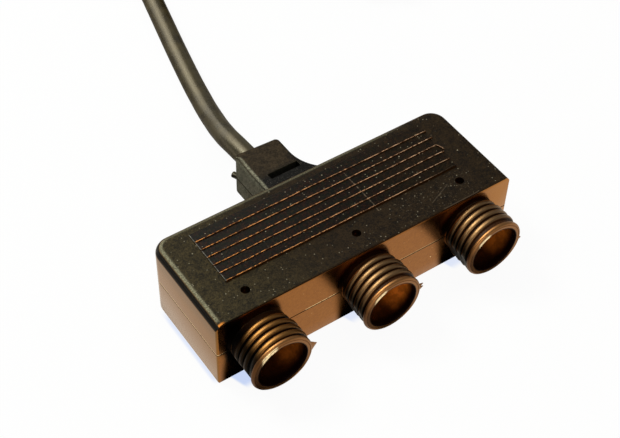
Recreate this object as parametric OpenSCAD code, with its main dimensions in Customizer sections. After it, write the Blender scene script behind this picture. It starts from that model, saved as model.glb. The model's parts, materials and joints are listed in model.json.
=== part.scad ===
// Three-way splitter: one moulded housing with three threaded socket spigots on its front,
// a cable that leaves a boot on its back, and a mating plug on the cable's far end.
// +X runs along the row of sockets, the sockets face -Y, +Z is up.

/* [Housing] */
// Length of the housing, along the row of sockets
housing_length = 90; // [86:0.5:110]
// Depth of the housing, from its front face to its back
housing_depth = 32; // [31:0.5:45]
// Height of the housing
housing_height = 22.8; // [21:0.1:30]
// Radius of the two rear corners, seen from above
rear_corner_r = 4.7; // [3:0.1:7]
// Radius of the two front corners, seen from above
front_corner_r = 1; // [0.3:0.1:2]
// Radius of the edge round the top, at the back and the ends
top_edge_r = 2.4; // [1:0.1:2.8]
// Bevel round the foot, at the back and the ends
foot_bevel = 0.6; // [0.2:0.1:1.2]

/* [Top pad] */
// Length of the raised pad on the top
pad_length = 71.2; // [50:0.2:80]
// Distance from the front face to the pad
pad_setback = 10.3; // [8:0.1:11]
// Height of the pad above the top
pad_height = 0.3; // [0.1:0.05:0.6]
// Number of ribs on the pad
rib_count = 6; // [2:1:6]
// Distance from one rib to the next
rib_pitch = 2.9; // [2:0.1:3]
// Width of a rib
rib_width = 0.5; // [0.3:0.05:1]
// Height of a rib above the pad
rib_height = 0.3; // [0.1:0.05:0.8]

/* [Sockets] */
// Distance from each end of the housing to the axis of the outer socket
end_margin = 12; // [11.5:0.5:14]
// Length of a spigot in front of the front face
spigot_length = 10.7; // [8:0.1:16]
// Outer diameter of the spigot's thread
thread_od = 17.8; // [17:0.1:19]
// Depth of the thread
thread_depth = 0.85; // [0.5:0.05:1]
// Pitch of the thread
thread_pitch = 2; // [1.5:0.1:3]
// Width of a thread at its root
thread_root_w = 1.5; // [1:0.05:1.5]
// Width of a thread at its crest
thread_crest_w = 0.9; // [0.3:0.05:1.2]
// Plain length between the front face and the thread
spigot_neck = 1.4; // [0.6:0.1:2]
// Length of the plain lip at the mouth
lip_length = 1.3; // [0.8:0.1:2]
// How far the lip stays inside the thread's outer diameter, on the radius
lip_step = 0.2; // [0.05:0.05:0.5]
// Angle below the parting plane at which the thread is cut flat
flat_tilt = 20; // [10:1:30]
// Inner diameter of a socket
socket_bore_d = 14; // [12:0.1:14.4]
// Depth of a socket, from its mouth to the insert's face
socket_depth = 12.5; // [11:0.1:18]
// Bevel at the mouth, inside and outside
mouth_bevel = 0.4; // [0.2:0.05:0.5]

/* [Core pins] */
// Diameter of the holes that the mould's core pins leave in the top
core_hole_d = 2.4; // [1.5:0.1:3]
// Distance from the front face to those holes
core_hole_setback = 5.9; // [4:0.1:6.5]

/* [Boot] */
// Sideways place of the boot and cable, from the housing's middle
boot_offset = -2.6; // [-6:0.1:6]
// Width of the boot
boot_width = 13.6; // [11:0.1:18]
// Height of the boot
boot_height = 13.7; // [12.5:0.1:15]
// How far the boot's middle is above the cable's axis
boot_rise = 1.35; // [0.5:0.05:1.8]
// Length of the boot behind the housing's back
boot_length = 16; // [12:0.5:24]
// Radius along the boot's long edges
boot_edge_r = 1.4; // [0.5:0.1:2.5]
// Radius of the boot's rear corners, seen from above
boot_corner_r = 1.4; // [0.5:0.1:2.5]
// Radius of the fillet between the boot's left side and the housing
boot_fillet_r = 1.6; // [1:0.1:5]
// Width of the flare between the boot's right side and the housing
flare_width = 4.5; // [2:0.1:6]
// Length of that flare
flare_length = 9.8; // [6.5:0.1:11]
// Width of the relief pocket in the boot's top
pocket_width = 9.4; // [6:0.1:9.6]
// Length of the relief pocket
pocket_length = 2.1; // [1.5:0.1:5]
// Depth of the relief pocket
pocket_depth = 4; // [2:0.1:4.2]
// Distance from the housing's back to the relief pocket
pocket_setback = 3.7; // [1:0.1:5]
// Sideways place of the relief pocket, from the boot's middle
pocket_offset = 1.4; // [0:0.1:1.8]

/* [Cable] */
// Outer diameter of the cable
cable_d = 6.4; // [5.8:0.1:6.8]
// Diameter of an insulated core
core_d = 2.4; // [2:0.1:2.6]
// Diameter of a core's bare end
core_tip_d = 1; // [0.8:0.1:1.2]
// Length of a core's bare end
core_tip_length = 1.5; // [1:0.1:2.5]
// Length of jacket held inside the housing, in front of its back face
jacket_grip = 8; // [5:0.5:12]

/* [Contacts] */
// Diameter of an insert
insert_d = 15.2; // [14.6:0.1:16]
// Length of an insert
insert_length = 10; // [8.5:0.1:11]
// Depth of the groove that locks an insert in the moulding
insert_groove = 0.4; // [0.3:0.05:1]
// Bevel round the back of an insert
insert_bevel = 0.5; // [0.2:0.1:1]
// Distance between the two contacts of a socket
contact_pitch = 5.2; // [4.4:0.1:6.4]
// Outer diameter of a contact
contact_d = 3; // [2.6:0.1:3.4]
// Diameter of a contact pin
pin_d = 1.7; // [1.4:0.05:1.8]
// Depth of the hole in a contact
contact_hole_depth = 8; // [6:0.1:8.5]
// Diameter of a contact's tail
tail_d = 2.4; // [2:0.1:2.6]
// Length of a contact's tail behind its insert
tail_length = 2.8; // [2.2:0.1:4]
// Diameter of a bus wire
bus_d = 1.2; // [0.8:0.1:1.6]

/* [Plug] */
// Thickness of the sealing ring
seal_thickness = 1.2; // [0.8:0.1:2]
// Thickness of the collar that the nut pulls on
collar_thickness = 1.6; // [1:0.1:2.5]
// Thickness of the nut's inner flange
flange_thickness = 2; // [1.5:0.1:3]
// Diameter of the grip
grip_d = 18.4; // [17.6:0.1:19.4]
// Length of the grip
grip_length = 12; // [10:0.5:20]
// Length of the plug's tapered strain relief
relief_length = 14; // [10:0.5:24]
// Diameter of the strain relief's thin end
relief_tip_d = 9; // [8.4:0.1:10]
// Diameter of the strain relief's thick end
relief_root_d = 12.4; // [11:0.1:15]
// Outer diameter of the nut, over its ribs
nut_od = 22.4; // [22:0.1:26]
// Diameter of a rib on the nut
nut_rib_d = 2; // [1.4:0.1:2.4]
// Number of ribs on the nut
nut_rib_count = 16; // [12:4:20]
// How far a pin stands out of the plug's nose
pin_reach = 6; // [4:0.1:7]
// Diameter of a pin's solder cup
cup_d = 2.9; // [2.8:0.1:3.2]
// Diameter of the plug's pin insert
plug_insert_d = 10.4; // [9.6:0.1:10.6]
// Length of the plug's pin insert
plug_insert_length = 9; // [7:0.1:10]

/* [Coil] */
// Radius of the coil at the middle of its turns
coil_mid_r = 32; // [31:0.5:36]
// Thickness of a tie's strap
tie_thickness = 1.5; // [1:0.1:2]
// Width of a tie's strap
tie_width = 4; // [3:0.1:6]
// Length of a tie's head, along the coil's top
tie_head_length = 6; // [5:0.1:8]
// Height of a tie's head above the strap
tie_head_height = 2.4; // [1.5:0.1:4]

/* [Fits] */
// Clearance round a piece that is moulded in
mould_gap = 0.05; // [0.02:0.01:0.1]
// Clearance between the spigot and the mating plug, on the radius
mating_gap = 0.2; // [0.1:0.05:0.3]
// Clearance round the turning nut
nut_gap = 0.3; // [0.2:0.05:0.4]

/* [Hidden] */

$fn = 64;
overlap = 0.5;
socket_pitch = housing_length / 2 - end_margin;
socket_x = [-socket_pitch, 0, socket_pitch];
axis_z = housing_height / 2;

// The origin is under the middle of the housing, spigots and boot together
front_y = spigot_length - (spigot_length + housing_depth + boot_length) / 2;
boot_end = housing_depth + boot_length;

// Thread and bore radii
crest_r = thread_od / 2;
root_r = crest_r - thread_depth;
bore_r = socket_bore_d / 2;
lip_r = crest_r - lip_step;
flat_r = root_r + 0.1;
thread_start = spigot_neck + thread_root_w / 2;
thread_turns = floor((spigot_length - lip_length - spigot_neck - thread_root_w) / thread_pitch) + 1;

// The boot's middle, and the arc of its flare
boot_z = axis_z + boot_rise;
flare_r = (flare_width ^ 2 + flare_length ^ 2) / (2 * flare_width);

// Places along Y inside the housing, from its front face
insert_front = socket_depth - spigot_length;
insert_back = insert_front + insert_length;
contact_front = insert_front + 0.8;
bus_y = insert_back + tail_length / 2;
jacket_front = housing_depth - jacket_grip;
groove_front = insert_back - 3.3;
groove_length = 1.6;
contact_z = contact_pitch / 2;
core_z = core_d / 2 + 0.1;

// Places along the plug, from the front face of its collar; the nose points to -Y
nose_r = bore_r - mating_gap;
nose_length = socket_depth + seal_thickness - 0.5;
nut_front = seal_thickness + spigot_length - 0.4;
nut_minor_r = root_r + mating_gap;
nut_major_r = crest_r + mating_gap;
collar_r = nut_minor_r - nut_gap + 0.05;
neck_r = collar_r - 0.8;
flange_front = collar_thickness + nut_gap;
nut_back = flange_front + flange_thickness;
grip_front = nut_back + nut_gap;
grip_back = grip_front + grip_length;
plug_back = grip_back + relief_length;
cup_length = 2.5;
plug_tail_back = plug_insert_length - nose_length + mould_gap + cup_length;
plug_jacket_front = grip_front + 4;

// The cable's free stretch: points chosen by hand, in the model's own frame
run_points = [
    [-2.6, 33, 11.4], [-2.6, 37, 11.1], [-2.5, 41, 10.5], [-2.2, 45, 9.5], [-1.5, 49, 8.2],
    [-0.6, 53, 6.7], [0.4, 57, 5.4], [1.3, 61, 4.4], [2.2, 65, 3.7], [3.1, 69, 3.3],
    [4.3, 75, 3.2], [6.3, 84, 3.2], [8.4, 93, 3.2], [10.6, 102, 3.2], [12.8, 111, 3.2],
    [14.9, 120, 3.4], [15.8, 126.5, 4.1], [15.5, 132.8, 4.8]
];
coil_center = [48, 153];
coil_base = tie_thickness + 0.1;

// The tail leaves the coil's outer top turn and runs straight into the plug. Its first stretch,
// up to the coil's outer side, is part of the coil.
tail_run = 25;
tail_in_coil = 15;
exit_angle = -2;
tail_heading = [sin(exit_angle), -cos(exit_angle)];
tail_tangent = coil_center + (coil_mid_r + cable_d / 2) * [cos(exit_angle), sin(exit_angle)];
tail_start = tail_tangent + tail_in_coil * tail_heading;
tail_end = tail_tangent + tail_run * tail_heading;
plug_origin = tail_end + plug_back * tail_heading;
plug_z = nut_od / 2;
tail_points = [[tail_start[0], tail_start[1], plug_z], [tail_end[0], tail_end[1], plug_z]];

// A cylinder from one point to another
module rod(from, to, d) {
    run = to - from;
    reach = norm(run);
    translate(from)
        rotate([0, acos(run[2] / reach), atan2(run[1], run[0])])
            cylinder(h = reach, d = d);
}

// A cylinder along Y, from y0 to y1
module along_y(y0, y1, r, x = 0, z = 0) {
    translate([x, y1, z]) rotate([90, 0, 0]) cylinder(h = y1 - y0, r = r);
}

// A rectangle with round corners, its low corner at the origin
module round_rect(w, h, r) {
    translate([r, 0]) square([w - 2 * r, h]);
    translate([0, r]) square([w, h - 2 * r]);
    for (x = [r, w - r], y = [r, h - r]) translate([x, y]) circle(r);
}

// The housing seen from the front
module front_profile() {
    half = housing_length / 2;
    shoulder = housing_height - top_edge_r;
    translate([-half + top_edge_r, foot_bevel])
        square([housing_length - 2 * top_edge_r, housing_height - foot_bevel]);
    translate([-half, foot_bevel]) square([housing_length, shoulder - foot_bevel]);
    for (s = [-1, 1]) translate([s * (half - top_edge_r), shoulder]) circle(top_edge_r);
    polygon([[-half + foot_bevel, 0], [half - foot_bevel, 0], [half, foot_bevel], [-half, foot_bevel]]);
}

// A wall that ends at r, with the top edge round and the foot bevelled
module edge_profile(r) {
    shoulder = housing_height - top_edge_r;
    translate([0, foot_bevel]) square([r, shoulder - foot_bevel]);
    translate([0, foot_bevel]) square([r - top_edge_r, housing_height - foot_bevel]);
    intersection() {
        translate([r - top_edge_r, shoulder]) circle(top_edge_r);
        translate([r - top_edge_r, shoulder]) square(top_edge_r);
    }
    polygon([[0, 0], [r - foot_bevel, 0], [r, foot_bevel], [0, foot_bevel]]);
}

// The oblong block: a straight part, a back strip and two rear corners
module block() {
    straight = housing_depth - rear_corner_r;
    inner = housing_length / 2 - rear_corner_r;
    translate([0, straight, 0]) rotate([90, 0, 0]) linear_extrude(straight) front_profile();
    translate([-inner, 0, 0]) rotate([90, 0, 90])
        linear_extrude(2 * inner) edge_profile(housing_depth);
    for (s = [-1, 1]) translate([s * inner, straight, 0])
        rotate_extrude() edge_profile(rear_corner_r);
}

// What is cut off the front corners to round them, seen from above
module front_corner_cut() {
    for (s = [-1, 1]) translate([s * (housing_length / 2 - front_corner_r), front_corner_r, -1])
        linear_extrude(housing_height + 2) difference() {
            translate([s > 0 ? 0 : -front_corner_r - 1, -front_corner_r - 1])
                square(front_corner_r + 1);
            circle(front_corner_r);
        }
}

// The raised pad and its ribs
module pad() {
    pad_depth = rib_count * rib_pitch + rib_width;
    translate([-pad_length / 2, pad_setback, housing_height - overlap])
        cube([pad_length, pad_depth, overlap + pad_height]);
    for (i = [0 : rib_count - 1])
        translate([-pad_length / 2, pad_setback + i * rib_pitch, housing_height - overlap])
            cube([pad_length, rib_width, overlap + pad_height + rib_height]);
}

// Half the section of a spigot: radius against distance from the front face
module spigot_profile() {
    lip_start = spigot_length - lip_length;
    polygon(concat(
        [[0, -overlap], [root_r, -overlap]],
        [for (i = [0 : thread_turns - 1], p = [
            [root_r, -thread_root_w / 2], [crest_r, -thread_crest_w / 2],
            [crest_r, thread_crest_w / 2], [root_r, thread_root_w / 2]
        ]) [p[0], thread_start + i * thread_pitch + p[1]]],
        [
            [root_r, lip_start], [lip_r, lip_start + 0.25],
            [lip_r, spigot_length - mouth_bevel], [lip_r - mouth_bevel, spigot_length],
            [0, spigot_length]
        ]
    ));
}

// One threaded spigot, cut flat on both sides just below the parting plane
module spigot() {
    rotate([90, 0, 0]) difference() {
        rotate_extrude() spigot_profile();
        for (s = [-1, 1]) rotate([0, 0, s * -flat_tilt])
            translate([s > 0 ? flat_r : -flat_r - 2, -root_r, spigot_neck])
                cube([2, 2 * root_r, spigot_length - lip_length - spigot_neck]);
    }
}

// The hollow of one socket, with its bevelled mouth
module socket_hollow() {
    mouth = bore_r + mouth_bevel;
    rotate([90, 0, 0]) rotate_extrude() polygon([
        [0, -insert_front], [bore_r, -insert_front], [bore_r, spigot_length - mouth_bevel],
        [mouth, spigot_length], [mouth, spigot_length + 1], [0, spigot_length + 1]
    ]);
}

// What fills the corner between a side of the boot and the housing, seen from above: the arc
// leaves the boot at the given length and meets the housing at the given width
module corner_fill(width, length, r) {
    difference() {
        translate([-overlap, -overlap]) square([width + overlap, length + overlap]);
        translate([r, length]) circle(r);
    }
}

// The block behind the housing that holds the cable. Its left side has a small fillet where it
// joins, and its right side a long flare.
module boot() {
    low = boot_z - boot_height / 2;
    intersection() {
        translate([boot_offset - boot_width / 2, boot_end, low]) rotate([90, 0, 0])
            linear_extrude(boot_length + overlap) round_rect(boot_width, boot_height, boot_edge_r);
        translate([boot_offset - boot_width / 2, housing_depth - 2 * overlap - boot_corner_r, 0])
            linear_extrude(housing_height) round_rect(
                boot_width, boot_length + 2 * overlap + boot_corner_r, boot_corner_r);
    }
    translate([boot_offset, housing_depth, low + boot_edge_r])
        linear_extrude(boot_height - 2 * boot_edge_r) {
            translate([boot_width / 2, 0]) corner_fill(flare_width, flare_length, flare_r);
            translate([-boot_width / 2, 0]) mirror([1, 0])
                corner_fill(boot_fillet_r, boot_fillet_r, boot_fillet_r);
        }
}

module relief_pocket() {
    translate([
        boot_offset + pocket_offset - pocket_width / 2,
        housing_depth + pocket_setback,
        boot_z + boot_height / 2 - pocket_depth
    ]) cube([pocket_width, pocket_length, pocket_depth + 1]);
}

// The outer form of an insert; gap makes it larger for its place in the housing
module insert_form(gap = 0) {
    r = insert_d / 2 + gap;
    back = insert_back + gap;
    groove = [groove_front + gap, groove_front + groove_length - gap];
    rotate([90, 0, 0]) rotate_extrude() polygon([
        [0, -insert_front], [r, -insert_front], [r, -groove[0]], [r - insert_groove, -groove[0]],
        [r - insert_groove, -groove[1]], [r, -groove[1]], [r, insert_bevel - back],
        [r - insert_bevel, -back], [0, -back]
    ]);
}

// The outer form of a contact's tail, with the same use of gap
module tail_form(gap = 0) {
    along_y(insert_back - overlap, insert_back + tail_length + gap, tail_d / 2 + gap);
}

module bus_form(gap = 0) {
    half = socket_pitch + tail_d / 2 + 0.4 + gap;
    translate([-half, bus_y, 0]) rotate([0, 90, 0]) cylinder(h = 2 * half, d = bus_d + 2 * gap);
}

// An insulated core from the jacket's end towards its bus wire, with a bare tip. Its place in
// the housing opens into the jacket's and the bus wire's.
module core_form(side, gap = 0) {
    opens = gap > 0 ? 0.5 : 0;
    from = [boot_offset, jacket_front - 0.2 + opens, side * core_z];
    to = [boot_offset, bus_y + bus_d / 2 + mould_gap - opens, side * contact_z];
    bare = core_tip_length / norm(to - from);
    rod(from, to + bare * (from - to), core_d + 2 * gap);
    rod(from, to, core_tip_d + 2 * gap);
}

module housing() {
    color([0.22, 0.2, 0.16]) difference() {
        union() {
            difference() {
                block();
                front_corner_cut();
            }
            pad();
            boot();
            for (x = socket_x) translate([x, 0, axis_z]) spigot();
        }
        for (x = socket_x) {
            translate([x, 0, axis_z]) {
                socket_hollow();
                insert_form(mould_gap);
                for (s = [-1, 1]) translate([0, 0, s * contact_z]) tail_form(mould_gap);
            }
            translate([x, core_hole_setback, axis_z + insert_d / 2 - overlap])
                cylinder(h = housing_height, d = core_hole_d);
        }
        for (s = [-1, 1]) {
            translate([0, 0, axis_z + s * contact_z]) bus_form(mould_gap);
            translate([0, 0, axis_z]) core_form(s, mould_gap);
        }
        translate([0, 0, axis_z])
            along_y(jacket_front - 0.2, boot_end + 1, cable_d / 2 + mould_gap, x = boot_offset);
        relief_pocket();
    }
}

module socket_insert(x) {
    color([0.12, 0.12, 0.13]) translate([x, 0, axis_z]) difference() {
        insert_form();
        for (s = [-1, 1]) {
            along_y(insert_front - 1, insert_back, pin_d / 2 + 0.25, z = s * contact_z);
            along_y(contact_front, insert_back + 1, contact_d / 2 + mould_gap, z = s * contact_z);
        }
    }
}

// A contact: a barrel with a hole for the pin, and a tail with a cross hole for the bus wire
module contact(x, side) {
    color([0.78, 0.62, 0.3]) translate([x, 0, axis_z + side * contact_z]) difference() {
        union() {
            along_y(contact_front, insert_back, contact_d / 2);
            tail_form();
        }
        along_y(contact_front - 1, contact_front + contact_hole_depth, pin_d / 2 + 0.1);
        translate([-tail_d, bus_y, 0]) rotate([0, 90, 0])
            cylinder(h = 2 * tail_d, d = bus_d + 2 * mould_gap);
    }
}

module bus_wire(side) {
    color([0.75, 0.75, 0.72]) translate([0, 0, axis_z + side * contact_z]) bus_form();
}

module core(side, shade) {
    color(shade) translate([0, 0, axis_z]) core_form(side);
}

module cable_entry() {
    color([0.2, 0.19, 0.16]) translate([0, 0, axis_z])
        along_y(jacket_front, boot_end, cable_d / 2, x = boot_offset);
}

// A tube along a list of points, with a ring of sides at each
function unit(v) = v / norm(v);
function heading(p, i) = unit(p[min(i + 1, len(p) - 1)] - p[max(i - 1, 0)]);
module tube(p, r, sides = 10) {
    rings = [for (i = [0 : len(p) - 1])
        let (t = heading(p, i), a = unit(cross(t, [0, 0, 1])), b = cross(a, t))
        for (k = [0 : sides - 1]) p[i] + r * (cos(k * 360 / sides) * a + sin(k * 360 / sides) * b)];
    walls = [for (i = [0 : len(p) - 2], k = [0 : sides - 1])
        let (n = (k + 1) % sides)
        [i * sides + k, i * sides + n, (i + 1) * sides + n, (i + 1) * sides + k]];
    first = [for (k = [sides - 1 : -1 : 0]) k];
    last = [for (k = [0 : sides - 1]) (len(p) - 1) * sides + k];
    polyhedron(rings, concat(walls, [first, last]));
}

module cable_run() {
    exit = [boot_offset, front_y + boot_end, axis_z];
    color([0.25, 0.24, 0.2]) tube(concat([exit], run_points), cable_d / 2);
}

module cable_tail() {
    color([0.25, 0.24, 0.2]) tube(tail_points, cable_d / 2);
}

// The section of the coil: two turns side by side and two high
module coil_section(gap = 0) {
    translate([coil_mid_r - cable_d - gap, coil_base - gap])
        round_rect(2 * cable_d + 2 * gap, 2 * cable_d + 2 * gap, cable_d / 2 + gap);
}

module cable_coil() {
    color([0.25, 0.24, 0.2]) translate([coil_center[0], coil_center[1], 0])
        rotate_extrude() coil_section();
}

// A strap closed round the coil, with its head on the top
module coil_tie(angle) {
    top = coil_base + 2 * cable_d + 0.1;
    color([0.1, 0.1, 0.1]) translate([coil_center[0], coil_center[1], 0]) rotate([0, 0, angle])
        translate([0, tie_width / 2, 0]) rotate([90, 0, 0]) {
            linear_extrude(tie_width) difference() {
                coil_section(0.1 + tie_thickness);
                coil_section(0.1);
            }
            translate([coil_mid_r - tie_head_length / 2, top, -0.5])
                cube([tie_head_length, tie_thickness + tie_head_height, tie_width + 1]);
        }
}

// The plug's outer form, radius against distance from the collar, nose first
module plug_profile() {
    tip = nose_r - mouth_bevel;
    groove_step = relief_length / 4;
    slope = (relief_root_d - relief_tip_d) / 2 / relief_length;
    polygon(concat(
        [
            [0, -nose_length], [tip, -nose_length], [nose_r, -nose_length + mouth_bevel],
            [nose_r, 0], [collar_r, 0], [collar_r, collar_thickness], [neck_r, collar_thickness],
            [neck_r, grip_front], [grip_d / 2 - 0.6, grip_front], [grip_d / 2, grip_front + 0.6],
            [grip_d / 2, grip_back - 1.5], [relief_root_d / 2, grip_back]
        ],
        [for (i = [0 : 2], p = [[0, 1], [-0.9, 1.4], [-0.9, 2.4], [0, 2.8]])
            let (y = i * groove_step + p[1])
            [relief_root_d / 2 - slope * y + p[0], grip_back + y]],
        [[relief_tip_d / 2, plug_back], [0, plug_back]]
    ));
}

module plug_core_form(side, gap = 0) {
    opens = gap > 0 ? 0.5 : 0;
    rod([0, plug_jacket_front - 0.2 + opens, side * core_z],
        [0, plug_tail_back + 0.25 - opens, side * contact_z], core_d + 2 * gap);
}

// The outer form of a pin: its reach, its shank in the insert and the solder cup behind
module pin_form(gap = 0) {
    opens = gap > 0 ? 0.5 : 0;
    along_y(-nose_length - pin_reach, plug_tail_back, pin_d / 2 + gap);
    along_y(plug_insert_length - nose_length + mould_gap - opens, plug_tail_back + gap,
        cup_d / 2 + gap);
}

module at_plug() {
    translate([plug_origin[0], plug_origin[1], plug_z]) rotate([0, 0, exit_angle]) children();
}

module plug_body() {
    flute_r = 2;
    color([0.22, 0.2, 0.16]) at_plug() difference() {
        rotate([-90, 0, 0]) rotate_extrude() plug_profile();
        for (a = [0 : 45 : 315]) rotate([0, a + 22.5, 0])
            along_y(grip_front + 2.5, grip_back - 2.5, flute_r, z = grip_d / 2 + flute_r - 0.8);
        along_y(-nose_length - 1, plug_insert_length - nose_length + mould_gap,
            plug_insert_d / 2 + mould_gap);
        for (s = [-1, 1]) {
            translate([0, 0, s * contact_z]) pin_form(mould_gap);
            plug_core_form(s, mould_gap);
        }
        along_y(plug_jacket_front - 0.2, plug_back + 1, cable_d / 2 + mould_gap);
    }
}

module plug_insert() {
    color([0.12, 0.12, 0.13]) at_plug() difference() {
        along_y(-nose_length, plug_insert_length - nose_length, plug_insert_d / 2);
        for (s = [-1, 1]) along_y(-nose_length - 1, 0, pin_d / 2 + mould_gap, z = s * contact_z);
    }
}

module plug_pin(side) {
    color([0.78, 0.62, 0.3]) at_plug() translate([0, 0, side * contact_z]) pin_form();
}

module plug_core(side, shade) {
    color(shade) at_plug() plug_core_form(side);
}

module plug_cable_end() {
    color([0.2, 0.19, 0.16]) at_plug() along_y(plug_jacket_front, plug_back, cable_d / 2);
}

module sealing_ring() {
    color([0.35, 0.1, 0.08]) at_plug() difference() {
        along_y(-seal_thickness, 0, collar_r);
        along_y(-seal_thickness - 1, 1, nose_r + mould_gap);
    }
}

// The nut's hollow: its thread, the room for the collar, and the hole in its flange
module nut_hollow_profile() {
    first = -nut_front + 0.4 + thread_root_w / 2;
    turns = floor((nut_front - seal_thickness - 0.4 - thread_root_w) / thread_pitch) + 1;
    polygon(concat(
        [[0, -nut_front - 1], [nut_major_r, -nut_front - 1], [nut_major_r, -nut_front],
            [nut_minor_r, -nut_front + 0.4]],
        [for (i = [0 : turns - 1], p = [
            [nut_minor_r, -thread_root_w / 2], [nut_major_r, -thread_crest_w / 2],
            [nut_major_r, thread_crest_w / 2], [nut_minor_r, thread_root_w / 2]
        ]) [p[0], first + 0.1 + i * thread_pitch + p[1]]],
        [
            [nut_minor_r, flange_front], [neck_r + nut_gap, flange_front],
            [neck_r + nut_gap, nut_back + 1], [0, nut_back + 1]
        ]
    ));
}

// The nut that screws onto a spigot, ribbed for the fingers
module coupling_nut() {
    rib_r = nut_rib_d / 2;
    wall_r = nut_od / 2 - 0.8;
    color([0.16, 0.15, 0.13]) at_plug() difference() {
        union() {
            along_y(-nut_front, nut_back, wall_r);
            for (i = [0 : nut_rib_count - 1]) rotate([0, i * 360 / nut_rib_count, 0])
                along_y(-nut_front + 1, nut_back - 1, rib_r, z = nut_od / 2 - rib_r);
        }
        rotate([-90, 0, 0]) rotate_extrude() nut_hollow_profile();
    }
}

// Puts what is measured from the housing's front face into the model's frame
module placed() {
    translate([0, front_y, 0]) children();
}

placed() housing();
placed() socket_insert(socket_x[0]);  // socket_insert_left
placed() socket_insert(socket_x[1]);  // socket_insert_middle
placed() socket_insert(socket_x[2]);  // socket_insert_right
placed() contact(socket_x[0], 1);  // contact_left_upper
placed() contact(socket_x[0], -1);  // contact_left_lower
placed() contact(socket_x[1], 1);  // contact_middle_upper
placed() contact(socket_x[1], -1);  // contact_middle_lower
placed() contact(socket_x[2], 1);  // contact_right_upper
placed() contact(socket_x[2], -1);  // contact_right_lower
placed() bus_wire(1);  // bus_wire_upper
placed() bus_wire(-1);  // bus_wire_lower
placed() core(1, [0.4, 0.22, 0.12]);  // core_upper
placed() core(-1, [0.1, 0.25, 0.55]);  // core_lower
placed() cable_entry();
cable_run();
cable_coil();
cable_tail();
coil_tie(-120);  // coil_tie_near
coil_tie(60);  // coil_tie_far
plug_body();
plug_insert();
plug_pin(1);  // plug_pin_upper
plug_pin(-1);  // plug_pin_lower
plug_core(1, [0.4, 0.22, 0.12]);  // plug_core_upper
plug_core(-1, [0.1, 0.25, 0.55]);  // plug_core_lower
plug_cable_end();
sealing_ring();
coupling_nut();
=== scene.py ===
import json
import math

import bmesh
import bpy
from mathutils import Matrix, Vector, noise


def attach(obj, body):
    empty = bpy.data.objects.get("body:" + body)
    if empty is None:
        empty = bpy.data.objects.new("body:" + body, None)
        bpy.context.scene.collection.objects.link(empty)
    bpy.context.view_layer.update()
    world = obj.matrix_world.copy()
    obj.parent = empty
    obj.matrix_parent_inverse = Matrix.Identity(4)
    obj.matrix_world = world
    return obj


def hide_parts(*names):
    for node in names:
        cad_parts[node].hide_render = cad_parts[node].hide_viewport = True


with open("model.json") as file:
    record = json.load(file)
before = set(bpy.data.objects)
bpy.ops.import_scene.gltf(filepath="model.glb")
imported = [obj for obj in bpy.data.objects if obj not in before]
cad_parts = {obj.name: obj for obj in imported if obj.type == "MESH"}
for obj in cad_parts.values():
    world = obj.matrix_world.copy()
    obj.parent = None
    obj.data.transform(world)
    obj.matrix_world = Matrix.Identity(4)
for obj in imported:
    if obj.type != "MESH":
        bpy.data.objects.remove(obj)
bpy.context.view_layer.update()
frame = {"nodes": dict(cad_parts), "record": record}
nodes = frame["nodes"]


# The view: a long lens held in front of the splitter and to its left, looking down on it.
camera_data = bpy.data.cameras.new("camera")
camera_data.sensor_width = 36
camera_data.lens = 76.54
camera_data.clip_start = 0.01
camera = bpy.data.objects.new("camera", camera_data)
bpy.context.scene.collection.objects.link(camera)
camera.matrix_world = Matrix((
    (0.82495, 0.40951, -0.38957, -0.13670),
    (-0.56481, 0.62316, -0.54098, -0.18243),
    (0.02123, 0.66632, 0.74537, 0.27081),
    (0, 0, 0, 1),
))
bpy.context.scene.camera = camera
bpy.context.scene.view_settings.view_transform = "Standard"


# The cable: a round two-core lead with a smooth dark jacket. It drops from the boot to the
# surface, runs away from the splitter, and its spare length is wound up in a tied coil.
CABLE_WIDTH = 0.0064
CABLE_EXIT = (-0.0026, 0.02935, 0.0114)
COIL_CENTRE = Vector((0.048, 0.153))
TURN_RADII = (0.0352, 0.0288)
LAYER_HEIGHTS = (0.0048, 0.0112)
PLUG_REAR = (0.082306, 0.126787, 0.0112)
POINTS_BETWEEN = 4
TAIL_POINTS = 8
run_points = [
    CABLE_EXIT,
    (-0.0026, 0.033, 0.0114), (-0.0026, 0.037, 0.0111), (-0.0025, 0.041, 0.0105),
    (-0.0022, 0.045, 0.0095), (-0.0015, 0.049, 0.0082), (-0.0006, 0.053, 0.0067),
    (0.0004, 0.057, 0.0054), (0.0013, 0.061, 0.0044), (0.0022, 0.065, 0.0037),
    (0.0031, 0.069, 0.0033), (0.0043, 0.075, 0.0032), (0.0063, 0.084, 0.0032),
    (0.0084, 0.093, 0.0032), (0.0106, 0.102, 0.0032), (0.0128, 0.111, 0.0032),
    (0.0149, 0.120, 0.0034), (0.0158, 0.1265, 0.0041), (0.0155, 0.1328, 0.0048),
]


def between(a, b, c, d, share):
    """A point on the smooth curve through b and c, with a and d as its neighbours."""
    return 0.5 * (
        2 * b
        + (c - a) * share
        + (2 * a - 5 * b + 4 * c - d) * share ** 2
        + (3 * b - a - 3 * c + d) * share ** 3
    )


def eased(value, low, high):
    """0 below low, 1 above high, and a soft rise between them."""
    share = min(max((value - low) / (high - low), 0), 1)
    return share * share * (3 - 2 * share)


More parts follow.
